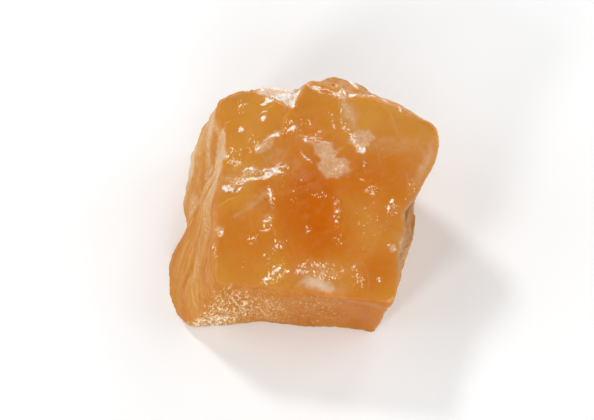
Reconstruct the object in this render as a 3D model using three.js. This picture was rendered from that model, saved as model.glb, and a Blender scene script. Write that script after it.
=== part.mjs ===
// A raw chunk of orange calcite: one solid lump of stone, broken from a vein, lying on its flattest face.
//
// Calcite breaks along three cleavage directions into slanting blocks, so the lump is a leaning block. Its broad
// upper face tilts down towards the front. A low terrace crosses that face from the left, small scoops of curved
// fracture bite into its back half, and a sloping notch is broken out of the back edge. The left face is kinked
// about a ridge, and the right face is undercut. Millimetres, +Z up, front towards -Y.
//
// The surface is written as seen from a point inside the stone, its heart: along every ray from the heart, the
// stone ends at the nearest break.

import * as THREE from 'three';
import { mergeVertices } from 'three/addons/utils/BufferGeometryUtils.js';

// ---- Driving dimensions, in millimetres and degrees ----

const WIDTH = 54.4; // left to right
const DEPTH = 45.6; // front to back
const HEIGHT = 30.4; // from the resting face to the highest point
const HEART = new THREE.Vector3(0, -1, 13); // the point the breaks are measured from
const BASE_REACH = 13; // from the heart straight down to the resting face, which trims the underside flat
const EDGE_SOFTNESS = 0.2; // how far the edges between breaks are worn

// The leaning block that the breaks are cut from: its eight corners, keyed by left or right, front or back and
// base or top.
const CORNERS = [
  { at: [-1, -1, -1], point: [-25, -20, 0] },
  { at: [1, -1, -1], point: [14.5, -23, 0] },
  { at: [-1, 1, -1], point: [-23, 18, 0] },
  { at: [1, 1, -1], point: [16, 17, 0] },
  { at: [-1, -1, 1], point: [-17.6, -20.9, 20] },
  { at: [1, -1, 1], point: [18.2, -23.5, 19.5] },
  { at: [-1, 1, 1], point: [-16.5, 15, 29] },
  { at: [1, 1, 1], point: [27, 9, 27] },
];
const BACK_BOW = 7; // how far the block's back bulges out between its corners
const RIGHT_BOW = -2.5; // and its right side, which is hollow
const CELLS = { across: 32, deep: 28, high: 20 }; // facets along the block's edges

// Flat breaks. A facet is [bearing, rise, reach]: it faces the bearing (0 right, 90 back, 180 left, 270 front),
// rises that steeply above the horizon, and lies that far from the heart. A break with one facet is a cleavage
// face, and one with two is a ledge or an inner corner, taken out of the stone beyond both of its facets.
const BREAKS = {
  broadTop: [[270, 76.2, 12.2]],
  leftPanel: [[258, 81.7, 13.0], [172, 35, 13.1]],
  lowTerrace: [[257.6, 75.9, 12.0], [287, 50, 6.6]],
  rightPanel: [[292, 77.4, 13.5]],
  backNotch: [[60, 62, 18.9], [150, 20, 14.4]],
  peak: [[68.5, 66, 24.2]],
  front: [[264.1, 0, 20.9], [275.5, 0, 19.3]],
  frontBevel: [[262, 18, 21.75]],
  frontCornerChip: [[238, -14, 32.3]],
  backLeft: [[107, 5, 22.75]],
  backSaddle: [[88, 5, 21.4], [116, 5, 18.8]],
  backRight: [[65.6, 3, 24.1]],
  backCorner: [[52, 3, 26.0]],
  backBevel: [[62, 50, 25.9]],
  backLedge: [[92, 2, 17.4], [80, -52, 10.5]],
  leftLow: [[185, 25, 20.05]],
  leftFront: [[210, 22, 24.6]],
  leftTurn: [[190.4, 24, 21.2]],
  leftShoulder: [[197, 22.5, 16.7], [100, -10, 5.5]],
  leftBack: [[157, 12, 24.7]],
  leftMiddle: [[170, 12, 22.1]],
  leftRidge: [[184, 15, 19.7], [120, -12, 9.7]],
  rightCorner: [[12, 2, 28.6]],
  right: [[349, 30, 23.25], [322, 0, 18.9]],
  rightBack: [[340, -20, 17.2], [60, 0, 9.3]],
  rightUndercut: [[343, -8, 22.3]],
  rightLedge: [[6, -10, 18.6], [25, -45, 10.8]],
  underside: [[0, -90, 15]],
};

// Curved breaks: shallow scoops, each a cap of a sphere with its deepest point, width, depth and the way it opens.
const SCOOPS = {
  middle: { floor: [2.8, 14.2, 28.5], width: 12.8, depth: 1.3, opens: [270, 76.2] },
  middleLeft: { floor: [-2.8, 11.0, 28.0], width: 6.4, depth: 0.8, opens: [270, 76.2] },
  aboveTerrace: { floor: [-2.5, 5.6, 26.6], width: 7.0, depth: 0.6, opens: [270, 76.2] },
  broad: { floor: [3.0, -6.5, 23.0], width: 24.0, depth: 1.1, opens: [270, 76.2] },
  front: { floor: [6.0, -21.2, 9.5], width: 17.0, depth: 1.0, opens: [268, 0] },
  backHigh: { floor: [-7.0, 18.6, 18.0], width: 15.0, depth: 1.6, opens: [96, 4] },
  backLow: { floor: [9.0, 16.6, 12.0], width: 13.0, depth: 1.2, opens: [70, 0] },
  right: { floor: [18.3, 0.0, 11.5], width: 12.0, depth: 1.2, opens: [345, -10] },
  left: { floor: [-22.2, 5.0, 9.0], width: 12.0, depth: 1.0, opens: [170, 14] },
};

// ---- The breaks as distances from the heart ----

// The unit vector that faces a bearing and rises above the horizon.
function heading(bearing, rise) {
  const b = THREE.MathUtils.degToRad(bearing);
  const r = THREE.MathUtils.degToRad(rise);
  return new THREE.Vector3(Math.cos(r) * Math.cos(b), Math.cos(r) * Math.sin(b), Math.sin(r));
}

const flatBreaks = Object.values(BREAKS).map((facets) =>
  facets.map(([bearing, rise, reach]) => ({ normal: heading(bearing, rise), reach })));

const curvedBreaks = Object.values(SCOOPS).map(({ floor, width, depth, opens }) => {
  const radius = (width * width / 4 + depth * depth) / (2 * depth);
  const centre = new THREE.Vector3(...floor).addScaledVector(heading(...opens), radius).sub(HEART);
  return { centre, radius };
});

// Where a ray from the heart enters the space beyond all of a break's facets, or never.
function reachToFacets(ray, facets) {
  let enter = 0;
  let leave = Infinity;
  for (const { normal, reach } of facets) {
    const facing = ray.dot(normal);
    if (facing > 0) enter = Math.max(enter, reach / facing);
    else if (facing < 0) leave = Math.min(leave, reach / facing);
    else return Infinity;
  }
  return enter <= leave ? enter : Infinity;
}

// Where a ray from the heart enters a scoop's sphere, or never.
function reachToScoop(ray, { centre, radius }) {
  const along = ray.dot(centre);
  const inside = along * along - centre.lengthSq() + radius * radius;
  return along > 0 && inside > 0 ? along - Math.sqrt(inside) : Infinity;
}

// The slow unevenness of every broken face, up to about a third of a millimetre.
function swell({ x, y, z }) {
  return 0.22 * Math.sin(0.55 * x + 0.31 * z + 0.6) * Math.sin(0.42 * y - 0.37 * z + 1.1)
    + 0.14 * Math.sin(0.95 * y + 0.48 * x - 0.7 * z);
}

// The distance along a ray at which the stone ends: the nearest break, with worn edges and uneven faces, and then
// the flat resting face.
function reachOfStone(ray) {
  const reaches = [
    ...flatBreaks.map((facets) => reachToFacets(ray, facets)),
    ...curvedBreaks.map((scoop) => reachToScoop(ray, scoop)),
  ];
  const nearest = Math.min(...reaches);
  const crowd = reaches.reduce((sum, reach) => sum + Math.exp((nearest - reach) / EDGE_SOFTNESS), 0);
  const worn = nearest - EDGE_SOFTNESS * Math.log(crowd);
  const uneven = worn + swell(ray.clone().multiplyScalar(worn));
  return ray.z < 0 ? Math.min(uneven, BASE_REACH / -ray.z) : uneven;
}

// ---- The stone ----

// The point of the leaning block for a point of the cube from -1 to 1, mixed from the block's corners.
function pointOfBlock({ x, y, z }) {
  const point = new THREE.Vector3();
  for (const { at, point: corner } of CORNERS) {
    const share = (1 + x * at[0]) * (1 + y * at[1]) * (1 + z * at[2]) / 8;
    point.addScaledVector(new THREE.Vector3(...corner), share);
  }
  point.x += RIGHT_BOW * (1 - y * y) * (1 + x) / 2;
  point.y += BACK_BOW * (1 - x * x) * (1 + y) / 2;
  return point;
}

function makeStoneGeometry() {
  const box = new THREE.BoxGeometry(2, 2, 2, CELLS.across, CELLS.deep, CELLS.high);
  box.deleteAttribute('normal');
  box.deleteAttribute('uv');
  const stone = mergeVertices(box, 1e-5);
  const points = stone.getAttribute('position');
  const point = new THREE.Vector3();
  for (let i = 0; i < points.count; i += 1) {
    point.fromBufferAttribute(points, i);
    const ray = pointOfBlock(point).sub(HEART).normalize();
    point.copy(ray).multiplyScalar(reachOfStone(ray));
    points.setXYZ(i, point.x, point.y, point.z);
  }

  // Trim to the overall size, standing on z = 0 and centred on the origin.
  stone.computeBoundingBox();
  const size = stone.boundingBox.getSize(new THREE.Vector3());
  const middle = stone.boundingBox.getCenter(new THREE.Vector3());
  stone.translate(-middle.x, -middle.y, -stone.boundingBox.min.z);
  stone.scale(WIDTH / size.x, DEPTH / size.y, HEIGHT / size.z);
  stone.computeVertexNormals();
  return stone;
}

// Waxy, see-into orange stone: amber where it is clear, paler where it is bruised.
const calcite = new THREE.MeshStandardMaterial({ color: '#c98137', roughness: 0.32, metalness: 0 });

const stone = new THREE.Mesh(makeStoneGeometry(), calcite);
stone.name = 'orange_calcite';

const chunk = new THREE.Group();
chunk.add(stone);

export default chunk;
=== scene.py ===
import math

import bpy
import numpy as np
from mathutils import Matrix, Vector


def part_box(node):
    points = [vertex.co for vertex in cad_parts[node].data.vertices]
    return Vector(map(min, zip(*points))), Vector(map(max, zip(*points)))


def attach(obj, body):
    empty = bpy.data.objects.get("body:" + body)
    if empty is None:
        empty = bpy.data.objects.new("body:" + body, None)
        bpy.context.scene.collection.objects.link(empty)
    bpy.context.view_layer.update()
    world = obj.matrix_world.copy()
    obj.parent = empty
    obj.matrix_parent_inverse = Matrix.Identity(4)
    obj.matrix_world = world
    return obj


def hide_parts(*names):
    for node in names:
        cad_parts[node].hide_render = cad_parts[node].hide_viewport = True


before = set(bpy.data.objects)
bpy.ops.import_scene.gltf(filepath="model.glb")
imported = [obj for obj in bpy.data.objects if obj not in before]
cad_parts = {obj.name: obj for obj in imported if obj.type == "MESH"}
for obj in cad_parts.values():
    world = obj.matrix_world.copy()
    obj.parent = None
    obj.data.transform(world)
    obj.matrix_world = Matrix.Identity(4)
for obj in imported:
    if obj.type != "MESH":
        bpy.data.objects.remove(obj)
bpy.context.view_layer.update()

# ---------------------------------------------------------------------------------------------------------
# The block of stone
# Orange calcite splits along three slanting cleavage directions, so a chunk knocked out of a vein starts as
# a leaning block. All the shape is worked out in millimetres and degrees, from a point inside the stone that
# is called its heart.

HEART = np.array([0.0, -1.0, 13.0])
BASE_REACH = 13.0  # from the heart down to the resting face
# The block's corners, keyed by left or right, front or back, and base or top.
CORNERS = {
    (-1, -1, -1): (-25.0, -20.0, 0.0),
    (1, -1, -1): (14.5, -23.0, 0.0),
    (-1, 1, -1): (-23.0, 18.0, 0.0),
    (1, 1, -1): (16.0, 17.0, 0.0),
    (-1, -1, 1): (-17.6, -20.9, 20.0),
    (1, -1, 1): (18.2, -23.5, 19.5),
    (-1, 1, 1): (-16.5, 15.0, 29.0),
    (1, 1, 1): (27.0, 9.0, 27.0),
}
BACK_BOW = 7.0  # how far the back bulges out between its corners
RIGHT_BOW = -2.5  # and the right side, which is hollow
CELLS = (170, 144, 80)  # faces across, deep and high


def cube_skin(cells):
    """The skin of a cube from -1 to 1 as six square grids, each a function of its two in-plane coordinates,
    with the points that meet along the cube's edges made one. Returns the points and four-sided faces."""
    steps = [np.linspace(-1, 1, count + 1) for count in cells]
    points, faces, made = [], [], 0
    for axis in range(3):
        u, v = (axis + 1) % 3, (axis + 2) % 3
        across, along = np.meshgrid(steps[u], steps[v], indexing="ij")
        order = np.arange(across.size).reshape(across.shape)
        ring = (order[:-1, :-1], order[1:, :-1], order[1:, 1:], order[:-1, 1:])
        patch = np.stack(ring, axis=-1).reshape(-1, 4)
        for side in (1, -1):
            sheet = np.empty((across.size, 3))
            sheet[:, axis], sheet[:, u], sheet[:, v] = side, across.ravel(), along.ravel()
            points.append(sheet)
            faces.append((patch if side > 0 else patch[:, ::-1]) + made)
            made += len(sheet)
    points = np.concatenate(points)
    _, first, same = np.unique(np.round(points, 9), axis=0, return_index=True, return_inverse=True)
    return points[first], same.reshape(-1)[np.concatenate(faces)]


def leaning_block(cube):
    """Each point of the cube goes to the mix of the eight corners in proportion to how near it is to each.
    The back then bulges and the right side caves in by a parabola across its width."""
    block = np.zeros_like(cube)
    for at, corner in CORNERS.items():
        nearness = np.prod((1 + cube * at) / 2, axis=1)
        block += nearness[:, None] * np.array(corner)
    x, y, _ = cube.T
    block[:, 0] += RIGHT_BOW * (1 - y * y) * (1 + x) / 2
    block[:, 1] += BACK_BOW * (1 - x * x) * (1 + y) / 2
    return block


cube, stone_faces = cube_skin(CELLS)
rays = leaning_block(cube) - HEART
rays /= np.linalg.norm(rays, axis=1)[:, None]

# ---------------------------------------------------------------------------------------------------------
# The breaks
# Flat cleavage faces, ledges and inner corners where two of them meet, and shallow shell-like scoops where
# the stone chipped across its cleavage. Along each ray the stone ends at whichever break lies nearest.

# Facets are (bearing, rise, reach): the way a facet faces, where bearing 0 is right, 90 back, 180 left and
# 270 front, and how far from the heart it lies. Beyond all of a break's facets the stone is gone.
BREAKS = {
    "broad_top": [(270, 76.2, 12.2)],
    "left_panel": [(258, 81.7, 13.0), (172, 35, 13.1)],
    "low_terrace": [(257.6, 75.9, 12.0), (287, 50, 6.6)],
    "right_panel": [(292, 77.4, 13.5)],
    "back_notch": [(60, 62, 18.9), (150, 20, 14.4)],
    "peak": [(68.5, 66, 24.2)],
    "front": [(264.1, 0, 20.9), (275.5, 0, 19.3)],
    "front_bevel": [(262, 18, 21.75)],
    "front_corner_chip": [(238, -14, 32.3)],
    "back_left": [(107, 5, 22.75)],
    "back_saddle": [(88, 5, 21.4), (116, 5, 18.8)],
    "back_right": [(65.6, 3, 24.1)],
    "back_corner": [(52, 3, 26.0)],
    "back_bevel": [(62, 50, 25.9)],
    "back_ledge": [(92, 2, 17.4), (80, -52, 10.5)],
    "left_low": [(185, 25, 20.05)],
    "left_front": [(210, 22, 24.6)],
    "left_turn": [(190.4, 24, 21.2)],
    "left_shoulder": [(197, 22.5, 16.7), (100, -10, 5.5)],
    "left_back": [(157, 12, 24.7)],
    "left_middle": [(170, 12, 22.1)],
    "left_ridge": [(184, 15, 19.7), (120, -12, 9.7)],
    "right_corner": [(12, 2, 28.6)],
    "right": [(349, 30, 23.25), (322, 0, 18.9)],
    "right_back": [(340, -20, 17.2), (60, 0, 9.3)],
    "right_undercut": [(343, -8, 22.3)],
    "right_ledge": [(6, -10, 18.6), (25, -45, 10.8)],
    "underside": [(0, -90, 15.0)],
}
# Scoops are (deepest point, width, depth, (bearing, rise) that it opens towards).
UPWARD = (270, 76.2)
SCOOPS = {
    "middle_scoop": ((2.8, 14.2, 28.5), 12.8, 1.3, UPWARD),
    "middle_left_scoop": ((-2.8, 11.0, 28.0), 6.4, 0.8, UPWARD),
    "above_terrace_scoop": ((-2.5, 5.6, 26.6), 7.0, 0.6, UPWARD),
    "broad_scoop": ((3.0, -6.5, 23.0), 24.0, 1.1, UPWARD),
    "front_scoop": ((6.0, -21.2, 9.5), 17.0, 1.0, (268, 0)),
    "back_high_scoop": ((-7.0, 18.6, 18.0), 15.0, 1.6, (96, 4)),
    "back_low_scoop": ((9.0, 16.6, 12.0), 13.0, 1.2, (70, 0)),
    "right_scoop": ((18.3, 0.0, 11.5), 12.0, 1.2, (345, -10)),
    "left_scoop": ((-22.2, 5.0, 9.0), 12.0, 1.0, (170, 14)),
}
EDGE_SOFTNESS = 0.2  # how far the edges between breaks are worn
LOOK_SOFTNESS = 0.35  # how far one break's looks run into the next one's
WORN_WIDTH = 0.5  # how far the wear of an edge shows to either side


def heading(bearing, rise):
    """The unit vector that faces a bearing and rises above the horizon."""
    b, r = math.radians(bearing), math.radians(rise)
    return np.array([math.cos(r) * math.cos(b), math.cos(r) * math.sin(b), math.sin(r)])


def reach_to_facets(facets):
    """Where each ray enters the space beyond all the facets: the furthest crossing into it, unless the ray
    has already crossed out of it, and then never."""
    enter, leave = np.zeros(len(rays)), np.full(len(rays), np.inf)
    for bearing, rise, reach in facets:
        facing = rays @ heading(bearing, rise)
        crossing = reach / np.where(facing == 0, 1e-12, facing)
        enter = np.where(facing > 0, np.maximum(enter, crossing), enter)
        leave = np.where(facing <= 0, np.minimum(leave, crossing), leave)
    return np.where(enter <= leave, enter, np.inf)


def reach_to_scoop(deepest, width, depth, opens):
    """Where each ray enters the sphere whose cap has that deepest point, width and depth."""
    radius = (width**2 / 4 + depth**2) / (2 * depth)
    centre = np.array(deepest) + heading(*opens) * radius - HEART
    along = rays @ centre
    inside = along**2 - centre @ centre + radius**2
    return np.where((inside > 0) & (along > 0), along - np.sqrt(np.maximum(inside, 0)), np.inf)


def swell(points):
    """The slow unevenness of a broken face, up to about a third of a millimetre: a product of two waves, and
    a third wave across them."""
    x, y, z = points.T
    wide = np.sin(0.55 * x + 0.31 * z + 0.6) * np.sin(0.42 * y - 0.37 * z + 1.1)
    return 0.22 * wide + 0.14 * np.sin(0.95 * y + 0.48 * x - 0.7 * z)


# The nearest break along each ray, as a soft minimum, so that edges come out slightly worn.
break_names = [*BREAKS, *SCOOPS]
reaches = np.stack(
    [reach_to_facets(facets) for facets in BREAKS.values()]
    + [reach_to_scoop(*scoop) for scoop in SCOOPS.values()])
nearest, next_nearest = np.sort(reaches, axis=0)[:2]
crowd = np.exp((nearest - reaches) / EDGE_SOFTNESS)
reach = nearest - EDGE_SOFTNESS * np.log(crowd.sum(axis=0))
smooth_skin = rays * reach[:, None]
reach = reach + swell(smooth_skin)

# Which break each point's looks come from, and how near it is to an edge between two.
blend = np.exp((nearest - reaches) / LOOK_SOFTNESS)
belongs = dict(zip(break_names, blend / blend.sum(axis=0)))
edge = np.clip(np.exp((nearest - next_nearest) / WORN_WIDTH), 0, 1)

BACK_BREAKS = (
    "back_left", "back_saddle", "back_right", "back_corner", "back_ledge", "back_high_scoop",
    "back_low_scoop")


def share_of(*names):
    """How much of each point's skin belongs to the named breaks, from 0 to 1."""
    return sum(belongs[name] for name in names)


on_top = share_of(
    "broad_top", "left_panel", "low_terrace", "right_panel", "back_notch", "peak", "middle_scoop",
    "middle_left_scoop", "above_terrace_scoop", "broad_scoop", "back_bevel")
on_front = share_of("front", "front_bevel", "front_scoop", "front_corner_chip")
on_left = share_of(
    "left_low", "left_front", "left_turn", "left_shoulder", "left_back", "left_middle", "left_ridge",
    "left_scoop")
on_back = share_of(*BACK_BREAKS)
on_right = share_of("right", "right_back", "right_undercut", "right_ledge", "right_corner", "right_scoop")

# ---------------------------------------------------------------------------------------------------------
# The broken skin
# Close to, every face is made of the edges of crystals: small plates tilted against each other, sugary
# grain on the faces that broke across them, and long ribs down the left side, where the cleavage sheared.


def soft_noise(points, cell, seed):
    """Smooth noise from -1 to 1: random values on a lattice of that cell, blended across each cell by a
    curve that is level at its ends. It repeats after 32 cells."""
    repeat = 32
    table = np.random.default_rng(seed).uniform(-1, 1, (repeat, repeat, repeat))
    at = points / cell
    low = np.floor(at).astype(int)
    part = at - low
    part = part * part * (3 - 2 * part)
    value = np.zeros(len(points))
    for corner in np.ndindex(2, 2, 2):
        share = np.prod(np.where(corner, part, 1 - part), axis=1)
        i, j, k = ((low + corner) % repeat).T
        value += share * table[i, j, k]
    return value


def tilted_plates(points, cell, seed):
    """Broken crystal faces: each point belongs to the nearest of the centres scattered one to a cell, and
    stands as high as that centre's random slope carries it from there. It repeats after 16 cells."""
    repeat = 16
    draw = np.random.default_rng(seed)
    scatter = draw.uniform(0, 1, (repeat, repeat, repeat, 3))
    slopes = draw.uniform(-1, 1, (repeat, repeat, repeat, 3))
    at = points / cell
    home = np.floor(at).astype(int)
    closest, height = np.full(len(points), np.inf), np.zeros(len(points))
    for step in np.ndindex(3, 3, 3):
        neighbour = home + step - 1
        i = tuple((neighbour % repeat).T)
        away = at - neighbour - scatter[i]
        gap = (away**2).sum(axis=1)
        height = np.where(gap < closest, (away * slopes[i]).sum(axis=1), height)
        closest = np.minimum(gap, closest)
    return height


def marks(points, spots, ragged, fade=0.5):
    """The strongest of the marks at each point: 1 inside an ellipse, falling to 0 across its ragged outline,
    over the fade as a share of its size. Also gives the point's place along, across and through that mark,
    where the place along a narrow mark runs as much slower as the mark is longer than wide."""
    strongest, place = np.zeros(len(points)), np.zeros((len(points), 3))
    for x, y, length, width, turn, strength in spots:
        c, s = math.cos(math.radians(turn)), math.sin(math.radians(turn))
        dx, dy = points[:, 0] - x, points[:, 1] - y
        along, across = dx * c + dy * s, dy * c - dx * s
        rise = np.clip(0.5 - (np.hypot(along / length, across / width) - 1 + ragged) / fade, 0, 1)
        rise = strength * rise * rise * (3 - 2 * rise)
        slowness = min(1, 1.6 * width / length)
        drawn_out = np.stack([along * slowness + x, across + y, 0.5 * points[:, 2]], axis=1)
        place[rise > strongest] = drawn_out[rise > strongest]
        strongest = np.maximum(strongest, rise)
    return strongest, place


def cleavage_steps(points, across, spacing, seed):
    """Stairs along one cleavage direction: each tread climbs evenly from -0.5 to 0.5 and drops back at once.
    Noise bends the treads, and hides them where it is low."""
    bent = points @ np.array(across) / spacing + 0.6 * soft_noise(points, cell=6.0, seed=seed)
    shown = np.clip(1.6 * soft_noise(points, cell=4.5, seed=seed + 1) + 0.35, 0, 1)
    return (bent % 1 - 0.5) * shown


# Marks are (x, y, half length, half width, turn, strength), laid on the upper faces from straight above.
# Chips are where the top shattered finest.
CHIPS = [
    (-5.2, 16.6, 4.6, 2.4, -10, 1.0), (-10.3, 0.2, 7.2, 0.8, 16.5, 0.25), (5.5, 18.0, 3.6, 1.8, -10, 0.8),
    (10.3, 9.0, 4.2, 0.8, -67, 0.8), (-12.7, 4.6, 2.4, 2.2, 0, 0.8), (0.2, 8.4, 1.8, 0.7, 0, 0.8),
    (-7.0, -5.5, 1.6, 3.4, 0, 0.7), (-4.6, -17.9, 2.8, 1.8, 30, 0.8), (3.4, -17.6, 4.8, 2.4, -5, 0.5),
    (7.4, -5.0, 0.9, 2.8, 0, 0.7), (14.5, -1.2, 2.4, 2.0, 0, 0.8), (11.5, -15.0, 1.6, 2.4, 20, 0.6),
    (5.6, 4.0, 3.4, 3.6, 0, 0.25), (-15.8, -9.4, 1.4, 1.4, 0, 0.6),
]
skin = smooth_skin + HEART
skin_height = skin[:, 2]
chipped = marks(skin, CHIPS, 0.4 * soft_noise(skin, cell=1.5, seed=13))[0] * on_top

# The left side sheared off a ridge, so its fibres fan out from the ridge's top: down along it, and forwards
# under the upper edge. Behind the ridge they lie level. Fibre coordinates run fast across the fibres, and
# slowly along them and into the stone.
RIDGE_TOP = (3.5, 27.0)  # how far back and how high
ACROSS_FAN = 20.0  # coordinate steps to the radian
FANNED_LENGTH, LEVEL_LENGTH = 18.0, 6.0  # millimetres along the fibres to a step
INTO_STONE = 0.1  # steps to the millimetre
LEVEL_START = 50.0  # keeps the level fibres' pattern apart from the fan's

ridge_bearing, ridge_rise, ridge_reach = BREAKS["left_shoulder"][1]
past_ridge = smooth_skin @ heading(ridge_bearing, ridge_rise) - ridge_reach
behind_ridge = np.clip(0.5 + past_ridge / 2.5, 0, 1)
forwards, downwards = RIDGE_TOP[0] - skin[:, 1], RIDGE_TOP[1] - skin_height
from_ridge_top = np.hypot(forwards, downwards)
fan = np.arctan2(downwards, np.maximum(forwards, 0.1)) + 0.045 * soft_noise(skin, cell=4.0, seed=61)
fanned = np.stack([ACROSS_FAN * fan, from_ridge_top / FANNED_LENGTH, INTO_STONE * skin[:, 0]], axis=1)
across_level = 0.9 * skin_height + 0.2 * skin[:, 1] + LEVEL_START
level = np.stack([across_level, skin[:, 1] / LEVEL_LENGTH, INTO_STONE * skin[:, 0]], axis=1)
fibres = np.where((behind_ridge > 0.5)[:, None], level, fanned)
fibres[:, 0] += 0.6 * soft_noise(skin, cell=7.0, seed=10) + 0.15 * soft_noise(skin, cell=2.0, seed=62)
coarse_ribs = 1 - 2 * np.abs(soft_noise(fibres, cell=1.1, seed=11))
fine_ribs = 1 - 2 * np.abs(soft_noise(fibres, cell=0.55, seed=12))
ribs = coarse_ribs + 0.5 * fine_ribs

# It grew in the vein layer on layer, thin one way and wide the other two. Growth coordinates run fast
# through the layers and slowly along them.
THROUGH_LAYERS = (0.25, 0.10, 0.96)
ALONG_LAYERS = ((0.14, -0.05, -0.03), (0.02, 0.15, -0.02))
growth = skin @ np.array([THROUGH_LAYERS, *ALONG_LAYERS]).T
growth[:, 0] += 1.2 * soft_noise(skin, cell=7.0, seed=14)

# How far the skin stands out, in millimetres: slow swells, steps along the cleavages, tilted plates, growth
# layers, the ribs of the left side, and edges that are worn and chipped back.
BACK_CLEAVAGE = (0.80, -0.45, 0.30)
TOP_CLEAVAGES = ((-0.28, 0.96, 0.0), (0.91, 0.42, 0.0))
on_hidden_sides = on_back + on_right
relief = (
    0.34 * soft_noise(skin, cell=5.0, seed=1)
    + 0.13 * soft_noise(skin, cell=2.2, seed=2)
    + on_top * 0.22 * cleavage_steps(skin, TOP_CLEAVAGES[0], spacing=3.2, seed=31)
    + on_top * 0.18 * cleavage_steps(skin, TOP_CLEAVAGES[1], spacing=4.1, seed=34)
    + on_hidden_sides * 0.42 * cleavage_steps(skin, THROUGH_LAYERS, spacing=2.4, seed=37)
    + on_hidden_sides * 0.40 * cleavage_steps(skin, BACK_CLEAVAGE, spacing=4.6, seed=40)
    + on_hidden_sides * 0.16 * tilted_plates(skin, cell=2.6, seed=8)
    + (on_hidden_sides + on_front) * 0.05 * soft_noise(growth, cell=0.5, seed=15)
    + on_top * 0.08 * tilted_plates(skin, cell=3.4, seed=3)
    + chipped * (0.40 * tilted_plates(skin, cell=1.5, seed=6) + 0.15 * tilted_plates(skin, cell=0.7, seed=7))
    + (0.10 * on_front + 0.08 * on_back + 0.06 * on_right) * tilted_plates(skin, cell=1.1, seed=4)
    + on_left * 0.13 * ribs
    - edge * (0.18 + 0.30 * np.abs(tilted_plates(skin, cell=1.6, seed=5)))
)
reach = reach + relief
below = rays[:, 2] < 0
reach[below] = np.minimum(reach[below], BASE_REACH / -rays[below, 2])
stone_points = rays * reach[:, None]

# ---------------------------------------------------------------------------------------------------------
# Bruises, clear stone and glints
# Knocks crush the skin to a pale frosting, glints are painted white where flaws inside would catch the light,
# and the clear stone looks deepest in the middle of the broad face. The sides are milky, in bands and layers.

# Bruises are crushed stone, with a ragged outline. The notch's white is partly painted glare.
BRUISES_AND_GLARE = [
    # In the middle of the top.
    (4.4, 6.0, 2.9, 1.6, -6, 0.72), (6.0, 2.7, 3.4, 2.1, -10, 0.72), (5.0, 4.5, 1.9, 1.4, 0, 0.72),
    # To the right of it, and the streak to its left.
    (11.8, 8.2, 2.8, 2.1, 15, 0.80), (11.5, 6.0, 1.2, 1.4, 0, 0.8), (-7.0, 7.3, 3.2, 1.1, 39, 0.72),
    # The edges of the terrace and the broad face, and the seam across the terrace.
    (-16.4, -9.4, 0.8, 1.1, 0, 0.8), (18.0, -13.2, 0.8, 0.7, 20, 0.75), (-12.0, -6.0, 1.7, 0.3, 30, 0.55),
    (-10.0, -4.8, 1.4, 0.4, 39, 0.6), (-8.2, -3.1, 1.7, 0.5, 48, 0.6),
    # Along the upper left edge.
    (-16.4, 5.4, 4.9, 0.9, 78, 1.0), (-17.6, -0.6, 2.4, 0.4, 60, 0.7),
    # The notch, whose white is partly painted glare, the front right corner and the back edge.
    (-5.0, 18.6, 4.4, 1.5, 4, 1.3), (-2.6, 17.2, 1.5, 2.4, 20, 1.6), (17.6, -23.0, 1.0, 0.5, 0, 0.8),
    (4.8, 20.6, 1.8, 1.2, -10, 0.45),
]
# Veils are bruises seen through clear stone, partly painted soft sheen: faint, with no outline.
VEILS_AND_SHEEN = [
    # The front edge, the right edge, and the seam behind the right bruise.
    (3.4, -20.2, 3.9, 1.5, -10, 1.5), (3.0, -17.6, 4.0, 2.0, 0, 0.75), (19.0, 7.0, 6.5, 1.8, -4, 0.75),
    (22.5, 5.0, 5.0, 2.5, 72, 0.40), (9.8, 12.8, 4.4, 1.3, -74, 1.00), (24.4, 3.6, 6.4, 1.3, 72, 1.00),
    # Broad and faint, under the open faces.
    (15.5, -8.5, 6.0, 1.6, 28, 0.20), (-9.5, 9.5, 4.5, 2.6, 30, 0.15), (1.0, 11.0, 3.0, 4.0, 0, 0.12),
    (17.5, 10.5, 8.0, 2.4, -12, 0.22),
    # Around the terrace's ledge and the middle bruise, and along the front and back edges.
    (-5.0, 4.8, 3.0, 1.8, 30, 0.70), (-9.8, -4.4, 3.8, 1.0, 42, 0.55), (-12.0, -20.2, 7.0, 0.8, 0, 0.45),
    (1.0, 7.6, 2.8, 0.9, -8, 0.60), (-10.0, 1.3, 7.4, 1.2, 15, 0.65), (-6.0, 3.0, 3.0, 1.4, 15, 0.5),
    (21.0, 14.0, 6.0, 1.2, -30, 0.35),
]
# Clear depths are where the top is unflawed far down, and so looks deepest orange.
CLEAR_DEPTHS = [
    (2.0, -5.5, 8.0, 12.0, 10, 1.0), (12.0, 0.5, 10.0, 5.5, 18, 0.75), (-2.5, 4.5, 5.0, 6.0, 0, 0.55),
    (2.5, 12.0, 6.5, 7.0, 0, 0.22), (-9.0, -11.0, 7.0, 6.0, 0, 0.50), (17.0, -3.0, 4.0, 8.0, 0, 0.55),
    (15.0, -17.0, 5.0, 4.0, 0, 0.60), (8.0, -14.0, 10.0, 7.0, 0, 0.45), (-14.0, 0.0, 4.0, 5.0, 0, 0.15),
]
# Windows are where the milky fibres thin out and let the gold through.
WINDOWS = [
    (-17.3, 8.0, 3.0, 0.8, 84, 0.85), (-16.9, 11.8, 1.6, 0.9, 80, 0.4), (-19.6, 6.4, 2.6, 0.5, 80, 0.5),
]
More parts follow.
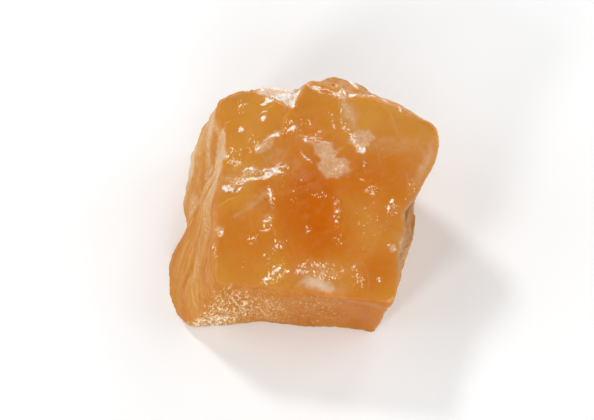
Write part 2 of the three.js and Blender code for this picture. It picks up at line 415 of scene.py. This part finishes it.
# Glints are painted highlights, laid into the colour where flaws would catch the light.
# Where two are as strong, the first one's shards are seen.
PAINTED_GLINTS = [
    # In the notch.
    (-5.6, 18.2, 3.8, 1.3, -6, 0.90), (-6.6, 15.7, 2.2, 0.45, 26, 1.5), (-4.2, 17.2, 2.2, 0.7, 12, 1.5),
    (-2.6, 16.2, 2.2, 0.9, -62, 1.15), (-4.8, 19.3, 1.8, 0.4, 0, 1.2), (-2.4, 18.4, 1.3, 0.4, -30, 1.1),
    (-1.3, 17.0, 1.2, 0.5, 70, 1.1), (-7.4, 18.7, 1.4, 0.45, 0, 1.3),
    # On the left panel.
    (-7.8, 12.1, 0.6, 0.5, 0, 1.3), (-7.6, 13.2, 0.9, 0.22, 6, 1.1), (-11.8, 9.9, 0.5, 0.35, 20, 1.0),
    (-12.7, 4.6, 2.2, 2.0, 0, 0.25),
    # On the terrace, from its ledge to the front.
    (-14.6, -1.6, 0.9, 0.45, 5, 1.3), (-12.2, -1.1, 1.0, 0.25, 22, 1.0), (-6.4, -2.7, 0.4, 1.8, 10, 0.9),
    (-7.2, -7.2, 1.1, 0.32, 14, 1.2), (-7.3, -9.2, 1.2, 0.28, 12, 0.95), (-10.6, -10.2, 0.5, 0.5, 0, 0.7),
    (-5.2, -12.4, 1.6, 1.4, 0, 0.15),
    # On the broad face, and towards its right edge.
    (6.6, -4.5, 0.4, 0.25, 20, 1.2), (7.2, -5.9, 0.5, 0.3, 30, 1.2), (7.5, -7.1, 0.35, 0.25, 0, 1.1),
    (6.5, -3.0, 0.3, 0.2, 0, 1.0), (13.2, -1.0, 2.2, 0.9, -40, 0.6), (17.8, -4.0, 0.45, 0.22, 20, 1.1),
    (18.5, -5.2, 0.4, 0.25, -30, 1.1), (17.0, -5.6, 0.3, 0.2, 10, 1.0),
    # Near the front edge.
    (-4.8, -17.0, 0.9, 0.28, 38, 1.1), (-6.6, -18.8, 0.9, 0.3, 30, 1.0),
    # Along the back edge.
    (4.6, 17.2, 3.4, 0.7, -22, 0.9), (8.2, 16.5, 1.0, 1.2, 0, 0.9), (6.4, 18.9, 1.2, 0.25, -35, 0.7),
    (2.0, 18.6, 1.6, 0.4, -30, 0.9), (9.6, 19.6, 2.0, 0.3, -40, 0.8), (9.0, 16.8, 2.2, 0.25, 12, 0.8),
    # Around the two bruises.
    (8.9, 10.0, 3.6, 0.5, -66, 0.50), (11.8, 5.8, 0.6, 0.6, 0, 1.1), (0.0, 8.4, 1.2, 0.35, 4, 0.85),
    (1.2, 7.4, 1.6, 0.30, -8, 0.85), (4.2, 7.6, 2.4, 0.25, -4, 0.80), (1.0, 4.4, 1.8, 0.16, -50, 1.2),
    # The ledge above the terrace, and the streak behind it.
    (-10.8, 0.1, 2.7, 0.26, 15, 1.2), (-8.3, 1.6, 5.2, 0.9, 19, 0.75), (-7.0, 7.3, 3.2, 0.7, 39, 0.60),
    # The seam that runs down to the right bruise.
    (8.2, 12.2, 0.4, 0.2, -75, 1.3), (8.9, 10.6, 0.5, 0.22, -75, 1.3), (9.6, 9.0, 0.45, 0.25, -60, 1.3),
    (10.3, 7.4, 0.5, 0.25, -55, 1.3), (11.2, 6.0, 0.45, 0.3, -50, 1.2), (8.0, 13.8, 0.5, 0.2, -85, 1.1),
    # Splinters of the ledge.
    (-12.7, 0.8, 3.6, 0.24, 17, 0.8), (-6.4, 2.6, 3.4, 0.40, 15, 1.0), (-5.2, 2.3, 1.7, 0.26, -24, 1.1),
    (-7.2, 1.2, 1.2, 0.24, 38, 1.0), (-9.6, 2.0, 2.2, 0.22, 8, 0.9), (-4.6, 3.6, 1.3, 0.30, 30, 1.0),
    # Splinters of the streak.
    (-6.2, 8.4, 2.2, 0.30, 39, 1.1), (-5.0, 8.7, 0.7, 0.40, 39, 1.2), (-7.6, 6.6, 1.6, 0.25, 45, 0.9),
    (-2.4, 10.6, 1.3, 0.35, 28, 1.2),
    # Faint ones near the front edge, and one in the middle bruise.
    (10.6, -18.6, 0.8, 2.6, 18, 0.20), (15.2, -19.0, 0.5, 0.5, 0, 0.9), (3.6, -18.2, 3.6, 1.6, 0, 0.35),
    (6.6, 2.6, 2.6, 2.0, 0, 0.22),
    # Along the edge from the peak to the right corner.
    (13.6, 16.6, 0.8, 0.25, -14, 0.9), (16.2, 15.4, 0.9, 0.22, -24, 1.1), (19.4, 14.0, 0.8, 0.2, -30, 0.7),
    (10.2, 17.2, 1.0, 0.3, -14, 0.8),
    # Single ones on the broad face, and at the corners.
    (1.2, -9.4, 0.25, 0.45, 0, 0.8), (12.2, 3.0, 0.3, 1.2, 0, 0.8), (17.6, -23.0, 0.9, 0.4, 0, 0.7),
    (-11.4, 15.3, 1.0, 0.3, 12, 0.7), (18.1, -13.2, 0.5, 0.4, 0, 0.55),
]
# Flurries of small painted glints are (x, y, half length, half width, turn, how many).
PAINTED_GLINT_FLURRIES = [
    (-12.0, 14.8, 1.4, 1.4, 0, 6), (-12.0, 9.8, 0.8, 0.8, 0, 4), (-13.4, 4.8, 2.2, 2.2, 0, 26),
    (-9.2, 7.2, 2.2, 1.4, 40, 8), (-2.0, 10.8, 2.4, 1.6, 20, 8), (1.4, 11.2, 1.0, 1.0, 0, 3),
    (6.1, 10.8, 0.5, 2.4, 8, 8), (9.6, 9.0, 0.9, 4.0, 22, 22), (3.0, 8.6, 1.4, 0.7, 0, 5),
    (-4.0, 2.6, 2.0, 1.2, 15, 10), (-10.0, 1.2, 5.0, 1.2, 16, 14), (-13.4, -1.6, 1.6, 0.8, 10, 5),
    (12.2, 3.2, 0.4, 2.0, 5, 6), (13.8, -1.8, 1.6, 1.4, -40, 10), (17.6, -5.0, 1.8, 1.8, 0, 14),
    (21.2, -2.0, 1.4, 3.2, -20, 4), (6.9, -6.0, 0.7, 3.4, -8, 14), (3.4, -2.4, 1.8, 0.8, 0, 2),
    (1.0, -9.2, 0.6, 0.9, 0, 1), (-6.2, -3.0, 0.7, 2.2, 10, 8), (-7.4, -8.2, 1.9, 1.9, 0, 3),
    (-9.8, -10.8, 1.2, 1.2, 0, 6), (-4.4, -12.2, 1.8, 2.0, 0, 4), (-6.2, -14.6, 2.0, 1.2, 0, 4),
    (-11.4, -16.0, 0.6, 0.8, 0, 3), (-17.2, -13.0, 0.5, 2.0, 5, 6), (-4.6, -17.4, 2.2, 1.6, 30, 6),
    (-7.4, -19.2, 1.4, 0.9, 20, 8), (2.4, -16.6, 4.6, 2.0, 0, 34), (5.0, -18.6, 2.6, 1.6, 0, 16),
    (8.0, -16.8, 0.5, 1.4, 0, 4), (10.6, -18.8, 1.2, 2.6, 20, 16), (15.2, -19.0, 0.8, 0.6, 0, 3),
    (17.8, -22.6, 0.8, 0.8, 0, 4), (7.2, -11.4, 0.8, 1.6, 0, 4), (-2.0, -0.6, 5.0, 3.6, 0, 3),
    (14.0, -9.0, 5.0, 6.0, 0, 5), (14.4, 16.2, 3.2, 0.5, -18, 7), (7.0, 2.4, 1.8, 1.8, 0, 2),
    (-16.2, -9.4, 1.0, 1.2, 0, 5),
]
# The front's glitter, painted sparkle on its sugary grain, is laid out by how far right and how high it is,
# and is thickest at the left corner.
PAINTED_FRONT_GLITTER = [
    (-18.0, 4.0, 6.5, 6.0, 90, 1.60), (-14.5, 11.0, 8.0, 5.5, 90, 1.00), (-8.5, 9.0, 9.5, 6.0, 90, 0.65),
    (1.0, 9.0, 10.0, 8.0, 90, 0.32),
]
MARKS_END = 12.0  # the height down to which the marks show
RIDGE_TOP_SPREAD = 9.0  # how far the milk spreads from the ridge's top
RIM_WIDTH = 0.9
SHARD_STRETCH = (2.6, 1.6, 1.0)  # the front's shards stand upright, finer across than they are high


def scattered(flurries, seed):
    """Small marks strewn evenly over each flurry's ellipse, turned up to 60 degrees from it. They are from a
    third of a millimetre to nearly a whole one long, most of them short, and about half as wide."""
    draw = np.random.default_rng(seed)
    spots = []
    for x, y, length, width, turn, count in flurries:
        c, s = math.cos(math.radians(turn)), math.sin(math.radians(turn))
        for out, around, size, lean, strength in draw.uniform(0, 1, (count, 5)):
            along = length * math.sqrt(out) * math.cos(math.tau * around)
            across = width * math.sqrt(out) * math.sin(math.tau * around)
            spot = (x + along * c - across * s, y + along * s + across * c)
            half = 0.16 + 0.30 * size**3
            spots.append((*spot, half, max(0.14, half / 2), turn + 120 * (lean - 0.5), 0.4 + 0.6 * strength))
    return spots


def between(values, start, end):
    """How far the values have come from start to end, from 0 to 1."""
    return np.clip((values - start) / (end - start), 0, 1)


# The stone between the glints of a flurry gets painted sparks too, and more where they stand closer.
strewn_spots = [
    (x, y, length, width, turn, min(1, 0.55 + 0.35 * count / (length * width)))
    for x, y, length, width, turn, count in PAINTED_GLINT_FLURRIES]

# The marks lie on the upper faces and run a little way over the edges. No flaw runs quite straight, so most
# of them wander by about half a millimetre.
upper = (on_top + on_left) * (skin_height > MARKS_END)
over_the_edge = 0.7 * on_back * between(skin_height, 24.0, 26.5)
marked_skin = np.minimum(upper + over_the_edge, 1)
ragged = 0.16 * soft_noise(skin, cell=1.6, seed=21) + 0.16 * soft_noise(skin, cell=0.7, seed=22)
wander = np.stack([
    0.5 * soft_noise(skin, cell=2.6, seed=seed) + 0.2 * soft_noise(skin, cell=0.9, seed=seed + 1)
    for seed in (51, 53, 55)], axis=1)
wandering = skin + wander
bruise_and_glare = marked_skin * marks(skin, BRUISES_AND_GLARE, 1.4 * ragged, fade=0.3)[0]
veil_and_sheen = upper * marks(wandering, VEILS_AND_SHEEN, ragged, fade=1.8)[0]
right_up_back = skin[:, [0, 2, 1]]
front_grain_and_painted_glitter = on_front * marks(right_up_back, PAINTED_FRONT_GLITTER, ragged, fade=1.2)[0]

# What makes stone milky: clouds all through it, bands and threads along the fibres, and growth layers.
clouds = 0.5 + 1.2 * soft_noise(skin, cell=6.0, seed=26) + 0.4 * soft_noise(skin, cell=1.5, seed=27)
clouded = np.clip(clouds, 0, 1)
bands = 0.5 + 1.1 * soft_noise(fibres, cell=2.0, seed=24) + 0.6 * soft_noise(fibres, cell=0.8, seed=25)
bands = np.clip(bands, 0, 1)
rib_crests = np.clip(ribs - 0.7, 0, 1)
layering = 0.5 + 0.9 * soft_noise(growth, cell=1.3, seed=28) + 0.5 * soft_noise(growth, cell=0.5, seed=29)
layering = np.clip(layering, 0, 1)

# Places of their own on the sides: the foot of the left side, the top of its ridge, the brow of its
# shoulder, and the brink where the top ends.
towards_foot = 1 - between(skin_height, 0.0, 11.0)
near_ridge_top = np.exp(-from_ridge_top / RIDGE_TOP_SPREAD) * (1 - behind_ridge)
brow = between(skin_height, 14.0, 22.0) * share_of("left_shoulder", "left_back")
brink = 4 * on_top * (1 - on_top)

# Frost is how milky the skin is, from 0 to 1.6. Crumbs show in it around 0.9, and haze from 0.6 up.
milky_behind_ridge = 0.45 + 0.35 * clouded + 0.2 * towards_foot + 0.3 * share_of("left_back", "left_middle")
milky_fibres = 0.2 * bands + 0.35 * rib_crests + 0.12
left_frost = on_left * (
    behind_ridge * milky_behind_ridge
    + 0.85 * brow
    + 1.2 * near_ridge_top * (0.1 + bands)
    + (1 - behind_ridge) * milky_fibres)
left_frost = left_frost * (1 - marks(wandering, WINDOWS, 1.5 * ragged, fade=1.6)[0])
front_frost = on_front * (0.05 * clouded + 0.2 * front_grain_and_painted_glitter)
back_frost = on_back * (0.5 * clouded * layering + 0.15 * layering)
right_frost = on_right * (0.4 + 0.15 * clouded + 0.25 * layering)
brink_frost = (0.6 * on_right + 0.2 * on_back) * brink
frost = left_frost + front_frost + back_frost + right_frost + brink_frost
# Bruises here include the notch's painted glare, and veils some painted sheen.
frost = np.maximum(frost, np.maximum(bruise_and_glare, 0.75 * veil_and_sheen))
frost = np.clip(frost + 0.25 * edge * clouded, 0, 1.6)

# Deep is how far the light goes in: 0 looks gold and 1 deep orange.
top_deep = on_top * marks(skin, CLEAR_DEPTHS, 0.30 * soft_noise(skin, cell=4.0, seed=23), fade=2.0)[0]
scoop_deep = 0.05 * share_of("middle_scoop", "middle_left_scoop", "above_terrace_scoop")
front_deep = on_front * 0.55 * between(skin[:, 0], -16.0, 2.0)
left_deep = on_left * (0.85 - 0.5 * bands)
back_deep = on_back * (1.1 - 0.6 * clouded - 0.5 * layering)
right_deep = on_right * (0.6 - 0.2 * clouded - 0.3 * layering)
deep = np.clip(top_deep + scoop_deep + front_deep + left_deep + back_deep + right_deep, 0, 1)

# The rim is the thin darker line where the top breaks off to the back.
to_back = np.stack([reaches[break_names.index(name)] for name in BACK_BREAKS]).min(axis=0)
rim = (on_top + 0.6 * on_back) * np.exp((nearest - to_back) / RIM_WIDTH)
rim = rim * np.clip(1 - frost, 0, 1)

# Painted glints lie on the upper faces, drawn out along their flaws, and in clumps all over the front's left
# end as its painted glitter. Where the left side has none, its threads follow the fibres instead.
painted_glint, drift = marks(wandering, PAINTED_GLINTS + scattered(PAINTED_GLINT_FLURRIES, seed=41), ragged, fade=0.8)
painted_glint = painted_glint * marked_skin
drift = np.where((front_grain_and_painted_glitter > painted_glint)[:, None], skin * SHARD_STRETCH, drift)
drift = np.where(((on_left > 0.5) & (painted_glint < 0.1))[:, None], fibres, drift)
clumps = np.clip(0.85 + 0.8 * soft_noise(skin * (1.0, 1.0, 0.35), cell=0.6, seed=64), 0.5, 1.2)
painted_glint = np.maximum(painted_glint, 0.55 * front_grain_and_painted_glitter * clumps)

# Painted sparks show wherever the stone is shattered fine, and sugary crystals with painted sparkle where it
# broke across them. Grain is how much the crystals' ends are tilted, silk how plainly the left side's fibres
# show, and the flanks are all the sides together.
strewn = upper * marks(skin, strewn_spots, ragged, fade=1.2)[0]
painted_spark = np.clip(strewn + 0.3 * chipped + 0.2 * on_right + 0.35 * on_back, 0, 1)
sugar_and_sparkle = (
    on_front * front_grain_and_painted_glitter
    + 0.1 * bruise_and_glare
    + (0.8 * on_back + 0.3 * on_right) * np.clip(clouded - 0.4, 0, 1)
    + 0.3 * on_left * np.clip(clouded - 0.5, 0, 1))
sugar_and_sparkle = np.clip(sugar_and_sparkle, 0, 1)
side_grain = on_front * 0.25 + 0.9 * front_grain_and_painted_glitter + 0.3 * on_back + 0.12 * on_left + 0.2 * on_right
grain = np.clip(side_grain + 0.25 * bruise_and_glare + 0.35 * chipped, 0, 1)
silk = on_left * (1 - 0.7 * behind_ridge) * np.maximum(between(skin_height, 1.0, 10.0), 0.3)
on_flank = np.clip(on_front + on_left + 0.8 * on_back + 0.6 * on_right, 0, 1)

# ---------------------------------------------------------------------------------------------------------
# The chunk
# One solid piece of stone, trimmed to its real size and lying on its flattest face. Nothing is fixed to it.

STONE = "orange_calcite"


def fit_to_box(points, low, high):
    """Slides and stretches the points so that their own box becomes the given one."""
    least, most = points.min(axis=0), points.max(axis=0)
    return np.array(low) + (points - least) / (most - least) * (np.array(high) - np.array(low))


low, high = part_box(STONE)
mesh = bpy.data.meshes.new("calcite_chunk")
mesh.from_pydata(fit_to_box(stone_points, low, high), [], stone_faces.tolist())
skin_masks = {
    "frost": frost,
    "deep": deep,
    "painted_glint": painted_glint,
    "grain": grain,
    "flank": on_flank,
    "silk": silk,
    "sugar_and_sparkle": sugar_and_sparkle,
    "bevel": share_of("right"),
    "painted_spark": painted_spark,
    "rim": rim,
}
for name, values in skin_masks.items():
    layer = mesh.attributes.new(name, "FLOAT", "POINT")
    layer.data.foreach_set("value", values.astype(np.float32))
layer = mesh.attributes.new("drift", "FLOAT_VECTOR", "POINT")
layer.data.foreach_set("vector", drift.astype(np.float32).ravel())
mesh.polygons.foreach_set("use_smooth", np.ones(len(mesh.polygons), dtype=bool))
mesh.update()
chunk = bpy.data.objects.new("calcite_chunk", mesh)
bpy.context.collection.objects.link(chunk)
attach(chunk, "root")
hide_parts(STONE)

# The look of the stone: the masks say what shows where, and noise through the stone breaks them up.
calcite = bpy.data.materials.new("orange_calcite_stone")
calcite.use_nodes = True
tree = calcite.node_tree
tree.nodes.clear()


def shade(code):
    """A colour written as six hex digits, as the linear values that a shader takes."""
    parts = [int(code[i:i + 2], 16) / 255 for i in (0, 2, 4)]
    return (*(p / 12.92 if p <= 0.04045 else ((p + 0.055) / 1.055) ** 2.4 for p in parts), 1.0)


def feed(socket, value):
    """Links a socket to the one that feeds it, or sets it to a constant."""
    if isinstance(value, bpy.types.NodeSocket):
        tree.links.new(value, socket)
    else:
        socket.default_value = value


def node(kind, inputs=None, **settings):
    """A shader node with its settings, and inputs that are either constants or the sockets that feed them."""
    made = tree.nodes.new(kind)
    for name, value in settings.items():
        setattr(made, name, value)
    for name, value in (inputs or {}).items():
        feed(made.inputs[name], value)
    return made


def mix(factor, first, second):
    """The second colour laid over the first by the factor. A Mix node's colours are its inputs 6 and 7 and
    its output 2."""
    return node("ShaderNodeMix", {0: factor, 6: first, 7: second}, data_type="RGBA").outputs[2]


def maths(operation, *values):
    """One step of arithmetic on sockets and numbers."""
    return node("ShaderNodeMath", dict(enumerate(values)), operation=operation).outputs["Value"]


def vectors(operation, inputs):
    """One step of arithmetic on whole vectors."""
    return node("ShaderNodeVectorMath", inputs, operation=operation).outputs["Vector"]


def ramp(value, start, end, first=0.0, last=1.0):
    """The value carried from between start and end to between first and last, and held at its ends."""
    spans = {"Value": value, "From Min": start, "From Max": end, "To Min": first, "To Max": last}
    return node("ShaderNodeMapRange", spans).outputs["Result"]


in_stone = node("ShaderNodeTexCoord").outputs["Object"]
mask = {name: node("ShaderNodeAttribute", attribute_name=name).outputs["Fac"] for name in skin_masks}


def noise(scale, detail, roughness=0.5, vector=None):
    """Noise with that many grains to the metre, or to each unit of another vector."""
    inputs = {"Vector": vector or in_stone, "Scale": scale, "Detail": detail, "Roughness": roughness}
    return node("ShaderNodeTexNoise", inputs).outputs["Fac"]


def stretched(scale, rotation=(0.0, 0.0, 0.0)):
    """The place in the stone, scaled and then turned: a scale under 1 draws a pattern out that way."""
    inputs = {"Vector": in_stone, "Rotation": rotation, "Scale": scale}
    return node("ShaderNodeMapping", inputs).outputs["Vector"]


cloudy = noise(110, detail=2)
mottle = noise(620, detail=4, roughness=0.6)
sugar = noise(2600, detail=3, roughness=0.6)

# Amber body: gold where it is shallow, deep orange in the middle, with milky clouds. The flanks are darker.
# It is brown at the rim, pinkish on the right side's bevel, and hazy where the frost is thickest, which at
# the notch is partly painted glare.
gold = mix(mask["flank"], shade("d2963a"), shade("c47a00"))
orange = mix(mask["flank"], shade("ca6a00"), shade("ba6400"))
milk = mix(mask["flank"], shade("d0a06c"), shade("cc9444"))
body = mix(mask["deep"], gold, orange)
body = mix(ramp(cloudy, 0.35, 0.7, last=0.3), body, orange)
body = mix(ramp(mottle, 0.5, 0.8, last=0.2), body, milk)
body = mix(maths("MULTIPLY", mask["rim"], 0.85), body, shade("a06a36"))
frosting = maths("MULTIPLY", mask["frost"], ramp(mottle, 0.35, 0.6, first=0.5))
body = mix(frosting, body, milk)
body = mix(maths("MULTIPLY", mask["bevel"], 0.4), body, shade("b08260"))
haze = mix(mask["flank"], shade("ecd8c4"), shade("d4bca2"))
body = mix(ramp(mask["frost"], 0.6, 1.4, last=0.8), body, haze)

# Crushed stone is a mass of crumbs: some bright, with darker gaps between them.
crumbs = noise(1500, detail=3, roughness=0.7)
crushed = maths("MULTIPLY", ramp(mask["frost"], 0.55, 0.85), ramp(mask["frost"], 1.2, 0.9))
bright_crumbs = maths("MULTIPLY", crushed, ramp(crumbs, 0.55, 0.68, last=0.55))
body = mix(bright_crumbs, body, shade("ecccaa"))
crumb_gaps = maths("MULTIPLY", crushed, ramp(crumbs, 0.48, 0.34, last=0.55))
body = mix(crumb_gaps, body, shade("c08040"))

# The left side's fibres: pale threads with darker stone between, plainer in some patches than in others.
along_flaws = node("ShaderNodeAttribute", attribute_name="drift").outputs["Vector"]
threads = noise(1.6, detail=4, roughness=0.75, vector=along_flaws)
patches = ramp(noise(260, detail=2), 0.38, 0.58, first=0.25)
silky = maths("MULTIPLY", mask["silk"], patches)
pale_threads = maths("MULTIPLY", silky, ramp(threads, 0.51, 0.62, last=0.75))
body = mix(pale_threads, body, shade("dcaa6c"))
dark_threads = maths("MULTIPLY", silky, ramp(threads, 0.45, 0.33, last=0.5))
body = mix(dark_threads, body, orange)

# Sugary crystals on the broken front and in the crushed stone, golden at their sides, leaning, standing
# close;
# their cream edges are painted sparkle.
leaning = stretched(scale=(1.0, 1.0, 0.3), rotation=(0.0, 0.35, 0.0))
crystals = noise(3000, detail=2, roughness=0.6, vector=leaning)
crystal_sides = maths("MULTIPLY", mask["sugar_and_sparkle"], ramp(crystals, 0.50, 0.60, last=0.6))
body = mix(crystal_sides, body, shade("e2a858"))
painted_crystal_sparkle = maths("MULTIPLY", mask["sugar_and_sparkle"], ramp(crystals, 0.62, 0.68, last=0.9))
body = mix(painted_crystal_sparkle, body, shade("ffe4b0"))

# Glints are painted highlights: shards between fine gaps, drawn out along each flaw, pinkish where faint and
# white at the painted crest.
# Colours stand around 0.5, so half is taken off to shift both ways.
HALF = (0.5, 0.5, 0.5)
crumple = node("ShaderNodeTexNoise", {"Vector": along_flaws, "Scale": 1.4, "Detail": 2.0}).outputs["Color"]
shift = vectors("SUBTRACT", {0: crumple, 1: HALF})
crumpled = vectors("MULTIPLY_ADD", {0: shift, 1: (0.4, 0.4, 0.4), 2: along_flaws})


def shards(scale, feature):
    """Cells of broken crystal, about that many to the millimetre across the flaw."""
    return node("ShaderNodeTexVoronoi", {"Vector": crumpled, "Scale": scale}, feature=feature)


def own_share(cells):
    """A random share from 0 to 1 for each cell."""
    return node("ShaderNodeSeparateColor", {"Color": cells.outputs["Color"]}).outputs["Red"]


LARGE_SHARDS, SMALL_SHARDS = 1.2, 2.8
large = own_share(shards(LARGE_SHARDS, "F1"))
small = own_share(shards(SMALL_SHARDS, "F1"))
from_shard_edge = shards(LARGE_SHARDS, "DISTANCE_TO_EDGE").outputs["Distance"]
threshold = maths("MAXIMUM", large, maths("SUBTRACT", small, 0.3))
lit = maths("SUBTRACT", maths("MULTIPLY", mask["painted_glint"], 0.85), threshold)
body = mix(ramp(lit, 0.0, 0.06, last=0.8), body, shade("ecc4a4"))
painted_crest = maths("MULTIPLY", ramp(lit, 0.20, 0.30), ramp(from_shard_edge, 0.02, 0.07))
painted_crest_colour = mix(mask["flank"], shade("fff8f0"), shade("ffeec8"))
body = mix(painted_crest, body, painted_crest_colour)

# Sparks are painted highlights: small crystal faces flashing cream in a golden halo, wherever the stone is
# shattered fine.
slanting = stretched(scale=(1.0, 0.6, 0.8), rotation=(0.0, 0.0, 0.6))
sparkle = noise(2300, detail=2, roughness=0.6, vector=slanting)
painted_flash = maths("MULTIPLY_ADD", mask["painted_spark"], 0.25, sparkle)
body = mix(ramp(painted_flash, 0.79, 0.84, last=0.7), body, shade("e8b060"))
body = mix(ramp(painted_flash, 0.85, 0.88), body, shade("fff0d8"))

# Glossy where it is clear, duller where it is frosted, mottled a little, and dullest on the flanks.
roughness = ramp(mask["frost"], 0.0, 1.0, first=0.12, last=0.45)
roughness = maths("ADD", roughness, ramp(mottle, 0.3, 0.7, first=-0.04, last=0.06))
roughness = maths("MULTIPLY_ADD", mask["flank"], 0.3, roughness)

# Sugary grain: every crystal ends in a flat face, tilted its own way.
upright = stretched(scale=(1.0, 1.0, 0.45))
grains = node("ShaderNodeTexVoronoi", {"Vector": upright, "Scale": 1900.0}).outputs["Color"]
tilt = vectors("SUBTRACT", {0: grains, 1: HALF})
tilt = vectors("SCALE", {0: tilt, "Scale": maths("MULTIPLY", mask["grain"], 0.6)})
skin_normal = node("ShaderNodeNewGeometry").outputs["Normal"]
faceted = vectors("NORMALIZE", {0: vectors("ADD", {0: skin_normal, 1: tilt})})
bump = node("ShaderNodeBump", {"Height": sugar, "Strength": 0.25, "Distance": 0.0002, "Normal": faceted})

# Light goes nearly two millimetres into the stone, the red of it furthest.
surface = node("ShaderNodeBsdfPrincipled", {
    "Base Color": body,
    "Roughness": roughness,
    "Normal": bump.outputs["Normal"],
    "IOR": 1.5,
    "Specular IOR Level": 0.25,
    "Subsurface Weight": 1.0,
    "Subsurface Radius": (1.0, 0.85, 0.65),
    "Subsurface Scale": 0.0018,
})
node("ShaderNodeOutputMaterial", {"Surface": surface.outputs["BSDF"]})
mesh.materials.append(calcite)

# ---------------------------------------------------------------------------------------------------------
# The ground
# A plain white tabletop, far wider than the stone.

FLOOR_HALF = 1.2  # metres from the middle to each side

ground = bpy.data.meshes.new("ground")
ground_corners = [(x * FLOOR_HALF, y * FLOOR_HALF, 0) for x, y in ((-1, -1), (1, -1), (1, 1), (-1, 1))]
ground.from_pydata(ground_corners, [], [(0, 1, 2, 3)])
paper = bpy.data.materials.new("white_tabletop")
paper.use_nodes = True
paper_surface = paper.node_tree.nodes["Principled BSDF"]
paper_surface.inputs["Base Color"].default_value = (0.97, 0.97, 0.97, 1)
paper_surface.inputs["Roughness"].default_value = 0.7
ground.materials.append(paper)
floor = bpy.data.objects.new("ground", ground)
bpy.context.collection.objects.link(floor)

# ---------------------------------------------------------------------------------------------------------
# Light and camera
# Small soft lamps high at the back left for the glints, behind, and at the front left; broad ones on both
# sides and in front; and pale air all round. The camera looks down steeply from the front.

# Lamps are (where, how wide, how strong), in metres and watts, and face the stone.
LAMPS = {
    "key": ((-0.28, 0.42, 0.50), 0.10, 1.6),
    "back": ((0.25, 0.60, 0.22), 0.25, 1.1),
    "front_left": ((-0.45, -0.50, 0.40), 0.16, 1.6),
    "left": ((-0.60, 0.00, 0.50), 0.60, 1.6),
    "right": ((0.60, 0.10, 0.50), 0.60, 2.1),
    "front": ((0.10, -0.70, 0.50), 0.60, 2.45),
}
CAMERA_RISE = 70  # degrees above level
CAMERA_AWAY = 0.450
AIM = np.array([-0.0009, -0.0012, 0.0145])  # near the middle of the stone

for name, (spot, size, power) in LAMPS.items():
    lamp = bpy.data.lights.new(name, "AREA")
    lamp.size = size
    lamp.energy = power
    holder = bpy.data.objects.new(name, lamp)
    holder.location = spot
    away = holder.location.normalized()
    holder.rotation_euler = away.to_track_quat("Z", "Y").to_euler()
    bpy.context.collection.objects.link(holder)

air = bpy.data.worlds.new("pale_air")
air.use_nodes = True
air.node_tree.nodes["Background"].inputs["Color"].default_value = (1.0, 1.0, 1.0, 1)
air.node_tree.nodes["Background"].inputs["Strength"].default_value = 0.15
bpy.context.scene.world = air
bpy.context.scene.view_settings.view_transform = "Standard"

lens = bpy.data.cameras.new("camera")
lens.lens = 136
lens.sensor_width = 36
lens.clip_start = 0.01
camera = bpy.data.objects.new("camera", lens)
camera.location = AIM + heading(-90, CAMERA_RISE) * CAMERA_AWAY
camera.rotation_euler = (math.radians(90 - CAMERA_RISE), 0, 0)
bpy.context.collection.objects.link(camera)
bpy.context.scene.camera = camera
